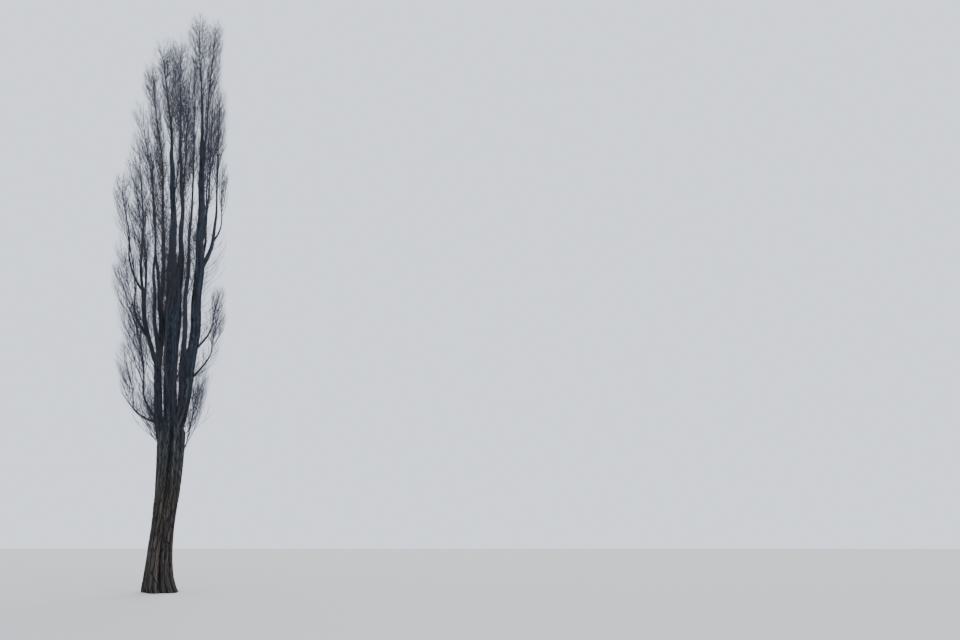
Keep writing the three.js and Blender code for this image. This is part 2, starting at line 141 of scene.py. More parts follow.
OWN_TWIGS = dict(first=0, last=0.9, lively=0.3, length=1, least_width=0, thickest=TWIG_RADIUS)

# How the twigs are numbered for their random draws and their tones: a mass has room for more
# numbers than it has twigs, and a twig for more than it has branchlets.
NUMBERS_PER_MASS, NUMBERS_PER_TWIG = 4000, 64
SHOOT_DRAWS, SHOOT_SPRAYS = 5000, 3000
FINE_NUMBERS, FINE_NUMBER_LIMIT = 8, 1_000_003
TONE_SHARES, TONE_DRAW = (0.5, 0.8), (7, 9)

# Floor, light and camera. The photograph's frame is 960 pixels wide.
FLOOR_SIZE = 1800.0
SURROUND_STRENGTH, SUN_STRENGTH, SUN_WIDTH, SUN_TILT, SUN_TURN = 2.1, 1.0, 40, -50, 20
CAMERA_PLACE, CAMERA_PITCH, CAMERA_SHIFT = (2.8, -20.0, 1.42), 24.5, 0.25
SENSOR_WIDTH, FOCAL_PIXELS, FRAME_PIXELS = 36, 500, 960


def sizes(carrier, leaves, heading, reach, rise, thick, thin, crown, **more):
    """A limb's sizes by name: what carries it and the height where it leaves that, its heading in
    degrees (0 to the right, 90 to the back), how far it reaches and rises, its radius at foot and
    tip, and the rise, drift and spread of the twigs that carry on from its tip."""
    return dict(carrier=carrier, leaves=leaves, heading=heading, reach=reach, rise=rise,
                thick=thick, thin=thin, crown=crown, **more)


# The limbs. Of their further sizes, a higher sweep turns a limb up sooner, a higher bend leans it
# later, a higher hold keeps it stout for longer, and above the height where it forks it is slimmer.
# Bushy and shoots are its share of further twigs and of short shoots against the ordinary limb,
# and crowd is how its further twigs crowd upward.
LIMBS = {
    "right_leader": sizes(
        "trunk", 4.7, 0, 0.9, 16.1, 0.235, 0.11, (10.0, (-0.45, 0.12), 0.82), sweep=4.6,
        lean=(-0.17, 0.06), hold=2, bushy=0.9, shoots=0.8),
    "centre_stem": sizes(
        "trunk", 4.7, 190, 0.2, 15.1, 0.29, 0.1, (7.7, (-0.8, -0.32), 0.8), sweep=6,
        lean=(-0.59, -0.18), bend=2.4, hold=1.3, forks=10.4, slim=0.78, bushy=1.2, shoots=1.4),
    "left_stem": sizes(
        "trunk", 4.6, 180, 0.69, 12.3, 0.195, 0.062, (9.5, (-1.06, -0.26), 0.76), sweep=12,
        lean=(-0.38, -0.08), hold=0.9, forks=10.0, slim=0.72, bushy=1.1, shoots=5),
    "inner_stem": sizes(
        "right_leader", 6.3, 194, 0.08, 10.9, 0.152, 0.05, (9.9, (-0.19, -0.15), 0.68), sweep=6,
        lean=(0.12, -0.14), bend=1.2, hold=0.7, bushy=1.1, shoots=0.5),
    "fork_stem": sizes(
        "centre_stem", 7.9, 25, 0.22, 12.9, 0.19, 0.072, (8.6, (-0.38, 0.33), 0.74), sweep=7,
        lean=(-0.47, 0.22), hold=0.65, bushy=1.1, shoots=0.5),
    "left_bough": sizes(
        "left_stem", 8.3, 180, 1.1, 6.3, 0.095, 0.054, (6.9, (-0.68, 0.2), 0.72), sweep=2.4,
        lean=(-0.09, 0.12), bushy=0.6, shoots=1.0),
    "left_upper_bough": sizes(
        "left_stem", 10.3, 190, 0.42, 5.7, 0.08, 0.046, (7.3, (-1.02, -0.15), 0.64), sweep=2.5,
        lean=(-0.33, -0.12), bushy=0.7),
    "right_upper_bough": sizes(
        "right_leader", 18.8, 340, 0.2, 3.4, 0.085, 0.05, (7.5, (0.32, -0.26), 0.54), sweep=2.5,
        bushy=1.0),
    "right_bough": sizes(
        "right_leader", 13.0, 5, 0.7, 3.5, 0.11, 0.055, (8.4, (0.02, 0.18), 0.5), bushy=0.7,
        shoots=0.4),
    "right_inner_bough": sizes(
        "right_leader", 14.2, 318, 0.52, 3.2, 0.075, 0.042, (7.4, (0.08, -0.32), 0.56), bushy=1.0,
        shoots=0.5),
    "right_outer_bough": sizes(
        "right_bough", 14.7, 20, 0.42, 1.2, 0.048, 0.03, (3.9, (-0.02, 0.06), 0.36), sweep=2,
        bushy=1.9, shoots=0.5),
    "right_low_bough": sizes(
        "right_leader", 9.0, 5, 0.88, 1.4, 0.045, 0.026, (1.7, (0.24, 0.05), 0.36), sweep=1.6,
        bushy=2.0, shoots=2.5),
    "right_lowest_bough": sizes(
        "right_leader", 7.7, 348, 1.0, 1.3, 0.05, 0.028, (2, (0.3, -0.09), 0.42), sweep=1.5,
        bushy=2.4, shoots=3.0),
    "left_low_bough": sizes(
        "left_bough", 9.7, 172, 0.78, 1.8, 0.07, 0.04, (5.5, (-0.9, 0.06), 0.62), sweep=1.9,
        bushy=0.45, shoots=0.9, crowd=2.2),
    "left_outer_bough": sizes(
        "left_bough", 12.0, 186, 0.8, 2.1, 0.07, 0.04, (4.2, (-0.7, -0.05), 0.6), sweep=1.9,
        bushy=1.9, shoots=0.6, crowd=2.6),
    "left_foot_bough": sizes(
        "left_stem", 5.9, 198, 0.74, 1.3, 0.058, 0.036, (7.0, (-1.3, -0.15), 0.74), sweep=1.4,
        bushy=1.0, shoots=5, crowd=1.1),
    "left_side_bough": sizes(
        "left_stem", 5.95, 170, 1.18, 0.82, 0.04, 0.024, (2.7, (-0.62, 0.06), 0.5), sweep=1.9,
        bushy=1.9, shoots=8),
    "front_stem": sizes(
        "centre_stem", 7.0, 281, 0.98, 7.9, 0.15, 0.055, (9.9, (0.06, -0.36), 0.8), sweep=3,
        bushy=0.55, shoots=0.9),
    "back_stem": sizes(
        "centre_stem", 7.2, 121, 1.08, 8.7, 0.15, 0.055, (10.1, (0.33, 0.34), 0.82), sweep=3,
        bushy=0.55, shoots=0.9),
    "front_right_bough": sizes(
        "right_leader", 10.4, 282, 0.9, 4.6, 0.105, 0.05, (8.6, (0.02, -0.42), 0.7), bushy=0.3),
    "back_right_bough": sizes(
        "right_leader", 11.6, 75, 0.9, 4.6, 0.105, 0.05, (9, (-0.02, 0.43), 0.69), bushy=0.3),
    "front_left_bough": sizes(
        "left_stem", 8.9, 252, 1.05, 4.3, 0.095, 0.048, (6.8, (-0.56, -0.5), 0.72), bushy=0.5,
        shoots=1.1),
    "back_left_bough": sizes(
        "left_stem", 9.7, 108, 1.05, 4.5, 0.095, 0.048, (7.0, (-0.56, 0.6), 0.74), bushy=0.5,
        shoots=1.1),
    "front_low_bough": sizes(
        "centre_stem", 6.3, 258, 1.08, 3.3, 0.08, 0.042, (5.9, (-0.04, -0.6), 0.74), sweep=2,
        bushy=1.0, shoots=1.8),
    "back_low_bough": sizes(
        "centre_stem", 6.3, 95, 1.18, 3.3, 0.08, 0.042, (6.2, (0, 0.64), 0.76), sweep=2, bushy=1.0,
        shoots=1.8),
    "front_low_right_bough": sizes(
        "right_leader", 7.9, 264, 1.15, 2.9, 0.075, 0.04, (5.7, (0.06, -0.65), 0.6), sweep=2,
        bushy=0.4, shoots=0.7),
    "back_low_right_bough": sizes(
        "right_leader", 8.8, 97, 1.15, 2.9, 0.075, 0.04, (5.7, (0.06, 0.6), 0.6), sweep=2,
        bushy=0.4, shoots=0.7),
    "front_low_left_bough": sizes(
        "left_bough", 9.2, 250, 0.95, 2.6, 0.07, 0.038, (5.6, (-0.7, -0.7), 0.66), sweep=2,
        bushy=0.85, shoots=1.1, crowd=2.6),
    "back_low_left_bough": sizes(
        "left_bough", 10.2, 110, 1.0, 2.6, 0.07, 0.038, (5.5, (-0.7, 0.65), 0.66), sweep=2,
        bushy=0.85, shoots=1.1, crowd=2.6),
}

# Shoots from the trunk itself, under the right-hand leader
SHOOTS = dict(height=4.6, heading=0, rise=3.9, drift=(0.4, 0.12), spread=0.44, bushy=2.1)
SHOOTS_STEP_OUT, SHOOTS_DEPTH, SHOOTS_SWELL = 0.48, 0.15, 0.008

# Finer growth than the solids hold. A crowding above 1 crowds the further twigs toward the top of
# their mass, and the short shoots toward the foot of their limb.
FURTHER_SHARE = 2.4  # further twigs on a stalk, for each twig of the solids' own
FURTHER_CROWDING = 1.5
FURTHER_TWIGS = dict(
    first=1000, last=0.96, lively=0.9, length=0.75, least_width=0.75, thickest=0.012)
SHOOTS_PER_METRE, SHOOT_CROWDING = 6.5, 1.5  # short shoots along the limbs themselves
SHOOT_FIRST, SHOOT_SPAN, SHOOT_TURN, SHOOT_SUNK = 0.04, 0.94, 60, 0.9
SHOOT_RISE, SHOOT_RISE_MORE, SHOOT_RISE_POWER = 0.35, 1.6, 1.3
SHOOT_REACH, SHOOT_REACH_MORE = 0.35, 0.45
SHOOT_RADIUS, SHOOT_RADIUS_MORE = 0.005, 0.006
SHOOT_RISE_TO_WANDER = 60
SHOOT_SAMPLES = [0.3, 0.6, 1.0]
BRANCHLETS = dict(
    per_metre=7.5, spare=2, rises=(0.18, 1.3), slimness=0.66, thickest=0.0085, taper=0.7,
    samples=3, reach=0.2, reach_more=0.24)
SHOOT_BRANCHLETS = dict(
    per_metre=8, spare=1, rises=(0.12, 0.8), slimness=0.66, thickest=0.0085, taper=0.7,
    samples=3, reach=0.25, reach_more=0.3)
SPRIGS = dict(
    per_metre=6.0, spare=1.2, rises=(0.08, 0.45), slimness=0.7, thickest=0.005, taper=0.65,
    samples=2, reach=0.25, reach_more=0.35)
FINE_FIRST, FINE_SPAN, FINE_TURN, FINE_SWEEP = 0.08, 0.9, 50, 1.9
FINE_RISE, FINE_RISE_MORE = 0.45, 0.4
LOOK_AHEAD, LEAST_AHEAD, FOLLOWING = 0.15, 0.02, 0.6  # how far they follow their parent's lean
FINE_RISE_TO_WANDER = 40
FINE_LEAST = 0.45  # a mass that isn't bushy at all has this share of the finer twigs
FINE_REACH = 1.25  # how far the finer twigs may stand from the stalk, as a share of the spread
FINE_ROOM = 0.004
MINGLING = 0.14  # how far they may pass between those of the next mass, as a share of the spread
BEYOND_ROOM = 0.9  # below or above its own mass one stays this far from others, in their spreads
BOX_ROOM = 0.06  # how far the finest twigs may reach past the solids' box
ROWS_AT_ONCE = 40_000


def smooth(low, high, value):
    """Rises from 0 at low to 1 at high as three times the share squared less twice its cube."""
    share = np.clip((np.asarray(value, float) - low) / (high - low), 0, 1)
    return share * share * (3 - 2 * share)


def mix_bits(number, factor):
    """The low 32 bits of a whole number times an odd factor."""
    return (np.atleast_1d(number).astype(np.uint64) * np.uint64(factor)) & np.uint64(0xFFFFFFFF)


def stirred(first, second, third):
    """A scattered 32-bit number from three whole ones: each times an odd factor, joined by
    exclusive or, then twice crossed with its own upper bits and multiplied."""
    h = mix_bits(first, 0x9E3779B1) ^ mix_bits(second, 0x85EBCA77) ^ mix_bits(third, 0xC2B2AE3D)
    h = mix_bits(h ^ (h >> np.uint64(15)), 0x2C1B3C6D)
    return mix_bits(h ^ (h >> np.uint64(12)), 0x297A2D39)


def chance(mass, twig, use):
    """A repeatable number from 0 to 1 for a mass, a twig and a use, from their stirred bits."""
    h = stirred(np.asarray(mass) + 1, np.asarray(twig) + 1, use + 1)
    return (h ^ (h >> np.uint64(15))) / 2.0 ** 32


def bearing(degrees):
    """Level unit directions: cosine and sine of the heading, and 0."""
    a = np.radians(np.asarray(degrees, float))
    return np.stack([np.cos(a), np.sin(a), np.zeros_like(a)], axis=-1)


def unit(vectors):
    """The same directions at length 1."""
    return vectors / np.linalg.norm(vectors, axis=-1, keepdims=True)


class Growth:
    """Many limbs or twigs at once. At the share t of its height each one's middle line lies at
    foot + out * reach * (1 - (1 - t) ** sweep) + lean * t ** bend + up * rise * t, with a slight
    wave across it that fades at both ends. A bend of 0 stands for an S-shaped build-up."""

    def __init__(self, foot, heading, reach, rise, sweep, lean, bend, wander):
        self.foot = np.atleast_2d(np.asarray(foot, float))
        n = len(self.foot)
        self.heading = np.broadcast_to(np.asarray(heading, float), n)
        self.reach = np.broadcast_to(np.asarray(reach, float), n)
        self.rise = np.broadcast_to(np.asarray(rise, float), n)
        self.lean = np.broadcast_to(np.asarray(lean, float), (n, 2))
        self.wander = np.broadcast_to(np.asarray(wander, float), n)
        self.sweep, self.bend = sweep, bend
        self.out, self.side = bearing(self.heading), bearing(self.heading + 90)
        self.phase = np.radians(
            self.heading * PHASE_BY_HEADING + self.foot[:, 2] * PHASE_BY_HEIGHT)

    def at(self, t):
        """Points at the shares t, either one row of shares for all or one row for each."""
        t = np.broadcast_to(np.asarray(t, float), (len(self.foot), np.shape(t)[-1]))
        late = smooth(0, 1, t) if self.bend == 0 else t ** self.bend
        wave = self.rise[:, None] * t / WANDER_LENGTH + self.phase[:, None]
        strength = self.wander[:, None] * np.sin(np.pi * t)
        outward = self.reach[:, None] * (1 - (1 - t) ** self.sweep) + strength * np.sin(wave)
        sideways = strength * np.cos(SIDEWAYS_PACE * wave)
        points = self.foot[:, None] + self.out[:, None] * outward[..., None]
        points = points + self.side[:, None] * sideways[..., None]
        points[..., :2] += self.lean[:, None] * late[..., None]
        points[..., 2] += self.rise[:, None] * t
        return points

    def frames(self, t):
        """Points, and the two directions across the line there, square to it and to each other."""
        t = np.broadcast_to(np.asarray(t, float), (len(self.foot), np.shape(t)[-1]))
        along = unit(self.at(np.minimum(t + 1e-3, 1)) - self.at(np.maximum(t - 1e-3, 0)))
        across = unit(np.cross(along, np.broadcast_to(self.side[:, None], along.shape)))
        return self.at(t), unit(np.cross(across, along)), across

    def pick(self, rows):
        """Only the growths in these rows."""
        return Growth(self.foot[rows], self.heading[rows], self.reach[rows], self.rise[rows],
                      self.sweep, self.lean[rows], self.bend, self.wander[rows])


def joined_growth(growths):
    """Several growths of one sweep and bend as one."""
    foot, heading, reach, rise, lean, wander = (
        np.concatenate([getattr(growth, key) for growth in growths])
        for key in ("foot", "heading", "reach", "rise", "lean", "wander"))
    return Growth(foot, heading, reach, rise, growths[0].sweep, lean, growths[0].bend, wander)


def trunk_centre(z):
    """The trunk's middle line: a bow to the left that is a half sine of the root of the height,
    and an S-shaped lean to the right above it."""
    bow = TRUNK_BOW * np.sin(np.pi * np.sqrt(np.minimum(1, z / BOW_HEIGHT)))
    return bow + TRUNK_LEAN * smooth(*LEAN_HEIGHTS, z)


def trunk_radius(angle, z):
    """An ellipse that widens to the fork, plus a flare that falls off exponentially, times
    buttresses that are a cosine of five times the angle and swellings that are a cosine of three
    times the angle and wind with the height, times a rounded head."""
    widening = smooth(WIDENS_FROM, FORK_HEIGHT, z)
    head_x = WAIST_RADIUS + (FORK_RADIUS[0] - WAIST_RADIUS) * widening
    head_y = WAIST_RADIUS + (FORK_RADIUS[1] - WAIST_RADIUS) * widening
    oval = 1 / np.hypot(np.cos(angle) / head_x, np.sin(angle) / head_y)
    flare = FLARE * np.exp(-z / FLARE_HEIGHT)
    buttress = BUTTRESS_DEPTH * np.exp(-z / BUTTRESS_HEIGHT) * np.cos(BUTTRESSES * angle + np.pi)
    swelling = SWELLING_DEPTH * (1 - widening) * np.cos(SWELLINGS * angle + z / SWELLING_TURN)
    height = np.maximum(0, (z - FORK_HEIGHT) / (TRUNK_TOP - FORK_HEIGHT))
    head = np.sqrt(HEAD_ROUNDING - height ** 2)
    return (oval + flare) * (1 + buttress + swelling) * head / math.sqrt(HEAD_ROUNDING)


def limb_radius(limb, t):
    """The radius falls from thick to thin by the share t to the power hold, is slimmer above the
    height where the limb forks, and swells exponentially toward the limb that carries it."""
    height = limb["foot"][2] + t * limb["rise"]
    forks = limb.get("forks", 0)
    slimmer = smooth(forks - SLIMS_BEFORE_FORK, forks + SLIMS_AFTER_FORK, height)
    left = 1 + (limb.get("slim", 1) - 1) * slimmer
    body = limb["thin"] + (limb["thick"] * left - limb["thin"]) * (1 - t ** limb.get("hold", 1))
    if limb["carrier"] == "trunk":
        return body
    return body * (1 + COLLAR * np.exp(-t * limb["rise"] / COLLAR_LENGTH))


for limb in LIMBS.values():
    if limb["carrier"] == "trunk":
        limb["foot"] = np.array([float(trunk_centre(limb["leaves"])), 0, limb["leaves"]])
    else:
        carrier = LIMBS[limb["carrier"]]
        share = (limb["leaves"] - carrier["foot"][2]) / carrier["rise"]
        limb["foot"] = carrier["growth"].at([share])[0, 0]
        widest = CARRIED_SHARE * limb_radius(carrier, share) / (1 + COLLAR)
        limb["thick"] = min(limb["thick"], float(widest))
    limb["growth"] = Growth(
        limb["foot"], limb["heading"], limb["reach"], limb["rise"],
        limb.get("sweep", LIMB_SWEEP), limb.get("lean", (0, 0)), limb.get("bend", LIMB_BEND),
        min(WANDER, limb["rise"] / RISE_TO_WANDER))


# The masses of twigs, each with its stalk

MASSES = []
for name, limb in LIMBS.items():
    rise, drift, spread = limb["crown"]
    below, tip = limb["growth"].at([0.999, 1.0])[0]
    foot = tip + unit(tip - below) * STALK_GAP
    thick = min(limb["thin"] * MOST_OF_TIP, STALK_RADIUS + limb["thin"] * STALK_SHARE)
    MASSES.append(dict(
        node=name + "_twigs", limb=name, rise=rise, spread=spread, thick=thick,
        swell=limb["thin"] - thick, bushy=limb.get("bushy", 1),
        crowd=limb.get("crowd", FURTHER_CROWDING),
        growth=Growth(foot, 0, 0, rise - STALK_GAP, STALK_SWEEP, drift, 0, 0)))

shoots_start = trunk_radius(np.radians(SHOOTS["heading"]), SHOOTS["height"]) - SHOOTS_DEPTH
shoots_foot = bearing(SHOOTS["heading"]) * shoots_start + np.array([0, 0, SHOOTS["height"]])
MASSES.append(dict(
    node="trunk_shoots", limb="trunk", rise=SHOOTS["rise"], spread=SHOOTS["spread"],
    thick=STALK_RADIUS, swell=SHOOTS_SWELL, bushy=SHOOTS["bushy"], crowd=FURTHER_CROWDING,
    growth=Growth(shoots_foot, SHOOTS["heading"], SHOOTS_STEP_OUT - SHOOTS_DEPTH,
                  SHOOTS["rise"] - STALK_GAP, STALK_SWEEP, SHOOTS["drift"], 0, 0)))


def stalk_radius(mass, t):
    """From thick at the foot to the tip's radius, evenly by the share t."""
    return mass["thick"] + (STALK_TIP_RADIUS - mass["thick"]) * t


def mass_width(u):
    """Half the width of a mass at the share u of its height, as a share of its spread: 1.22 times
    the share to the power 0.55, times the root of 1 less its fifth power, plus 0.06. So it is
    narrow at the foot, full at two thirds and rounded in to the tip."""
    return 1.22 * u ** 0.55 * np.sqrt(np.maximum(0, 1 - u ** 5)) + 0.06


def remoteness(points):
    """For each mass and point, the level distance from the mass's stalk as a share of its spread,
    without end above and below the stalk. The first axis is the mass."""
    rows = []
    for mass in MASSES:
        growth = mass["growth"]
        t = (points[:, 2] - growth.foot[0, 2]) / growth.rise[0]
        stalk = growth.at(np.clip(t, 0, 1))[0]
        away = np.hypot(*(points[:, :2] - stalk[:, :2]).T) / mass["spread"]
        rows.append(np.where((t < MASS_ENDS[0]) | (t > MASS_ENDS[1]), np.inf, away))
    return np.array(rows)


def own_and_next(points, owner):
    """How remote each point is from its owner's stalk, and from the nearest other stalk."""
    away = remoteness(points)
    column = np.arange(len(points))
    own = away[owner, column].copy()
    away[owner, column] = np.inf
    return own, away.min(axis=0)


def in_reach(points):
    """True for each point inside the solids' box, grown by a little room on every side."""
    low, high = (np.array(corner) for corner in CAD_BOX)
    return ((points > low - BOX_ROOM) & (points < high + BOX_ROOM)).all(axis=1)


def touches_limb(points, room, carrier=None):
    """True where a point lies nearer a limb's middle line, on the level, than the limb's radius
    and the room. A point's own carrier, by number, is passed over."""
    hit = np.zeros(len(points), bool)
    for number, limb in enumerate(LIMBS.values()):
        t = (points[:, 2] - limb["foot"][2]) / limb["rise"]
        inside = (t > 0) & (t < 1)
        share = np.clip(t, 0, 1)
        centre = limb["growth"].at(share)[0]
        near = np.hypot(*(points[:, :2] - centre[:, :2]).T) < limb_radius(limb, share) + room
        other = True if carrier is None else carrier != number
        hit |= near & inside & other
    low = points[:, 2] < TRUNK_TOP
    away = np.hypot(points[:, 0] - trunk_centre(points[:, 2]), points[:, 1])
    return hit | (low & (away < WAIST_RADIUS + TRUNK_ROOM + room))


def keeps_its_space(growth, radius, mass):
    """True for each twig that stays inside its own mass, nearest to that mass's stalk by a margin,
    off the limbs and inside the box."""
    points = growth.at(np.arange(1, TWIG_SAMPLES + 1) / TWIG_SAMPLES).reshape(-1, 3)
    own, other = own_and_next(points, np.repeat(mass, TWIG_SAMPLES))
    good = (own <= OWN_REACH) & (other >= own + TERRITORY)
    good &= ~touches_limb(points, np.repeat(radius, TWIG_SAMPLES) + TWIG_ROOM) & in_reach(points)
    return good.reshape(-1, TWIG_SAMPLES).all(axis=1)


class Twigs:
    """Twigs of one order: their growth, their radius at the foot, and each one's mass, its number
    for random draws, and the number of its spray, which has one tone."""

    def __init__(self, growth, thick, mass, number, spray):
        self.growth, self.thick = growth, np.asarray(thick, float)
        self.mass, self.number, self.spray = mass, number, spray

    def pick(self, rows):
        """Only the twigs in these rows."""
        return Twigs(self.growth.pick(rows), self.thick[rows], self.mass[rows],
                     self.number[rows], self.spray[rows])


def joined(parts):
    """Several sets of twigs as one."""
    growth = joined_growth([part.growth for part in parts])
    return Twigs(growth, *(np.concatenate([getattr(part, key) for part in parts])
                           for key in ("thick", "mass", "number", "spray")))


def twigs_of(index, mass):
    """The larger twigs of a mass: up the stalk by the golden angle, each sweeping out and then
    straight up to a tip inside the mass's outline. The solids' own twigs come first, and then
    shorter and thinner ones by the same rule. A twig that can't keep its space is tried shorter,
    then skipped."""
    fullness = TWIGS_PER_METRE * math.sqrt(mass["spread"] / ORDINARY_SPREAD)
    own_count = math.floor(mass["rise"] * fullness + SPARE_TWIGS + 0.5)
    further_count = round(own_count * FURTHER_SHARE * mass["bushy"])
    made = []
    for kind, count, crowding in ((OWN_TWIGS, own_count, 1),
                                  (FURTHER_TWIGS, further_count, mass["crowd"])):
        k = np.arange(count)
        twig = kind["first"] + k
        place = 1 - (1 - (k + 0.5 * chance(index, twig, 0)) / count) ** crowding
        t = FIRST_TWIG + (kind["last"] - FIRST_TWIG) * place
        heading = twig * GOLDEN_ANGLE + TWIG_TURN * chance(index, twig, 1) + MASS_TURN * index
        left_above = mass["rise"] * (1 - t)
        full = np.clip(left_above * (TWIG_RISE + kind["lively"] * chance(index, twig, 2)),
                       *TWIG_RISE_LIMITS)
        untried = np.ones(count, bool)
        for share in SHORTER_TRIES:
            rise = share * kind["length"] * full
            u = np.minimum(HIGHEST_TIP, t + rise / mass["rise"])
            width = np.maximum(mass_width(u), kind["least_width"])
            outward = TWIG_REACH + TWIG_REACH_MORE * chance(index, twig, 3)
            reach = share * mass["spread"] * width * outward
            foot = mass["growth"].at(t)[0]
            slip = mass["growth"].at(u)[0] - foot
            growth = Growth(foot, heading, reach, rise, TWIG_SWEEP, slip[:, :2], 1,
                            rise / RISE_TO_WANDER)
            thick = np.minimum(kind["thickest"], stalk_radius(mass, t) * TWIG_SHARE)
            owner = np.full(count, index)
            good = untried & keeps_its_space(growth, thick, owner)
            made.append(Twigs(growth, thick, owner, twig * NUMBERS_PER_TWIG,
                              index * NUMBERS_PER_MASS + twig).pick(good))
            untried &= ~good
    return joined(made)


def limb_shoots(number, limb):
    """Short shoots that stand out all along a limb, by the golden angle, and then turn up. One
    that would touch another limb or leave the box is skipped."""
    count = max(2, round(limb["rise"] * SHOOTS_PER_METRE * limb.get("shoots", 1)))
    k = np.arange(count)
    twig = SHOOT_DRAWS + k
    place = (k + chance(number, twig, 0)) / count
    t = SHOOT_FIRST + SHOOT_SPAN * place ** SHOOT_CROWDING
    heading = k * GOLDEN_ANGLE + SHOOT_TURN * chance(number, twig, 1)
    rise = SHOOT_RISE + SHOOT_RISE_MORE * chance(number, twig, 2) ** SHOOT_RISE_POWER
    reach = rise * (SHOOT_REACH + SHOOT_REACH_MORE * chance(number, twig, 3))
    from_middle = bearing(heading) * (limb_radius(limb, t) * SHOOT_SUNK)[:, None]
    foot = limb["growth"].at(t)[0] + from_middle
    growth = Growth(foot, heading, reach, rise, TWIG_SWEEP, (0, 0), 1, rise / SHOOT_RISE_TO_WANDER)
    thick = SHOOT_RADIUS + SHOOT_RADIUS_MORE * chance(number, twig, 4)
    samples = len(SHOOT_SAMPLES)
    points = growth.at(SHOOT_SAMPLES).reshape(-1, 3)
    room = np.repeat(thick, samples) + TWIG_ROOM
    free = ~touches_limb(points, room, np.full(len(points), number)) & in_reach(points)
    free = free.reshape(-1, samples).all(axis=1)
    return Twigs(growth, thick, np.full(count, number), twig * NUMBERS_PER_TWIG,
                 number * NUMBERS_PER_MASS + SHOOT_SPRAYS + k).pick(free)


def branched(parents, per_metre, spare, rises, slimness, thickest, taper, samples, reach,
             reach_more):
    """Finer twigs on each twig of a set, by the same rule: up the twig by the golden angle, each
    a share of what is left of the twig above it, sweeping out and then up beside it. One that
    would leave its mass's space or touch a limb is skipped."""
    bushy = np.array([FINE_LEAST + (1 - FINE_LEAST) * min(1, mass["bushy"]) for mass in MASSES])
    counts = (parents.growth.rise * per_metre + spare) * bushy[parents.mass]
    counts = np.maximum(1, np.round(counts)).astype(int)
    row = np.repeat(np.arange(len(counts)), counts)
    k = np.arange(len(row)) - np.repeat(np.cumsum(counts) - counts, counts)
    mass, number = parents.mass[row], parents.number[row] + k + 1
    s = FINE_FIRST + FINE_SPAN * (k + chance(mass, number, 0)) / counts[row]
    parent = parents.growth.pick(row)
    share = FINE_RISE + FINE_RISE_MORE * chance(mass, number, 2)
    rise = np.clip(parent.rise * (1 - s) * share + rises[0], *rises)
    outward = rise * (reach + reach_more * chance(mass, number, 3))
    heading = parent.heading + k * GOLDEN_ANGLE + FINE_TURN * chance(mass, number, 1)
    foot = parent.at(s[:, None])[:, 0]
    ahead = parent.at(np.minimum(1, s + LOOK_AHEAD)[:, None])[:, 0] - foot
    slope = ahead[:, :2] / np.maximum(ahead[:, 2:], LEAST_AHEAD)
    thick = np.minimum(thickest, parents.thick[row] * (1 - taper * s) * slimness)
    fine = Growth(foot, heading, outward, rise, FINE_SWEEP, slope * rise[:, None] * FOLLOWING, 1,
                  rise / FINE_RISE_TO_WANDER)
    keep = np.ones(len(row), bool)
    for first in range(0, len(row), ROWS_AT_ONCE):
        part = slice(first, first + ROWS_AT_ONCE)
        points = fine.pick(part).at(np.arange(1, samples + 1) / samples).reshape(-1, 3)
        own, other = own_and_next(points, np.repeat(mass[part], samples))
        good = np.where(np.isinf(own), other > BEYOND_ROOM,
                        (own <= FINE_REACH) & (other >= own - MINGLING))
        good &= ~touches_limb(points, np.repeat(thick[part], samples) + FINE_ROOM)
        good &= in_reach(points)
        keep[part] = good.reshape(-1, samples).all(axis=1)
    return Twigs(fine, thick, mass, number * FINE_NUMBERS % FINE_NUMBER_LIMIT,
                 parents.spray[row]).pick(keep)


# Meshes

def make_mesh(name, vertices, faces, tones=None, values=None):
    """A mesh object at the origin from an array of points and arrays of faces, one array for each
    number of corners, with a material number for each face and named values for each point."""
    mesh = bpy.data.meshes.new(name)
    corners = np.concatenate([f.ravel() for f in faces]).astype(np.int32)
    totals = np.concatenate([np.full(len(f), f.shape[1], np.int32) for f in faces])
    mesh.vertices.add(len(vertices))
    mesh.vertices.foreach_set("co", np.ascontiguousarray(vertices, np.float32).ravel())
    mesh.loops.add(len(corners))
    mesh.loops.foreach_set("vertex_index", corners)
    mesh.polygons.add(len(totals))
    mesh.polygons.foreach_set("loop_start", (np.cumsum(totals) - totals).astype(np.int32))
    mesh.polygons.foreach_set("use_smooth", np.ones(len(totals), bool))
    if tones is not None:
        mesh.polygons.foreach_set("material_index", np.concatenate(tones).astype(np.int32))
    mesh.update(calc_edges=True)
    for key, value in (values or {}).items():
        layer = mesh.attributes.new(key, "FLOAT", "POINT")
        layer.data.foreach_set("value", np.ascontiguousarray(value, np.float32))
    made = bpy.data.objects.new(name, mesh)
    bpy.context.scene.collection.objects.link(made)
    return made


def tube_walls(count, around):
    """Point numbers of a tube's rings, one row for each, the same rows turned on by one place,
    and the four-cornered faces between neighbouring rings."""
    grid = np.arange(count * around).reshape(count, around)
    beside = np.roll(grid, -1, axis=1)
    walls = np.stack([grid[:-1], beside[:-1], beside[1:], grid[1:]], axis=-1).reshape(-1, 4)
    return grid, beside, walls


def closed_tube(rings, first, last):
    """Points and faces of a tube through rings of points, closed at both ends by fans round a
    middle point. The rings' array has the axes ring, place round it, and x y z."""
    count, around = rings.shape[:2]
    grid, beside, walls = tube_walls(count, around)
    bottom, top = count * around, count * around + 1
    low = np.stack([np.full(around, bottom), beside[0], grid[0]], axis=-1)
    high = np.stack([grid[-1], beside[-1], np.full(around, top)], axis=-1)
    return np.vstack([rings.reshape(-1, 3), first, last]), [walls, np.vstack([low, high])]


def with_ends(values):
    """The values of a closed tube's rings, and one for the middle point of each end."""
    return np.concatenate([values, [END_VALUE, END_VALUE]])


def bark_mesh(name, points, faces, relief, rib, plate, age):
    """A mesh of closed tubes with the values that its bark's material reads, among them the rib
    value that paints shade into its hollows.
    """
    return make_mesh(name, points, faces, values=dict(relief=relief, rib=rib, plate=plate, age=age))


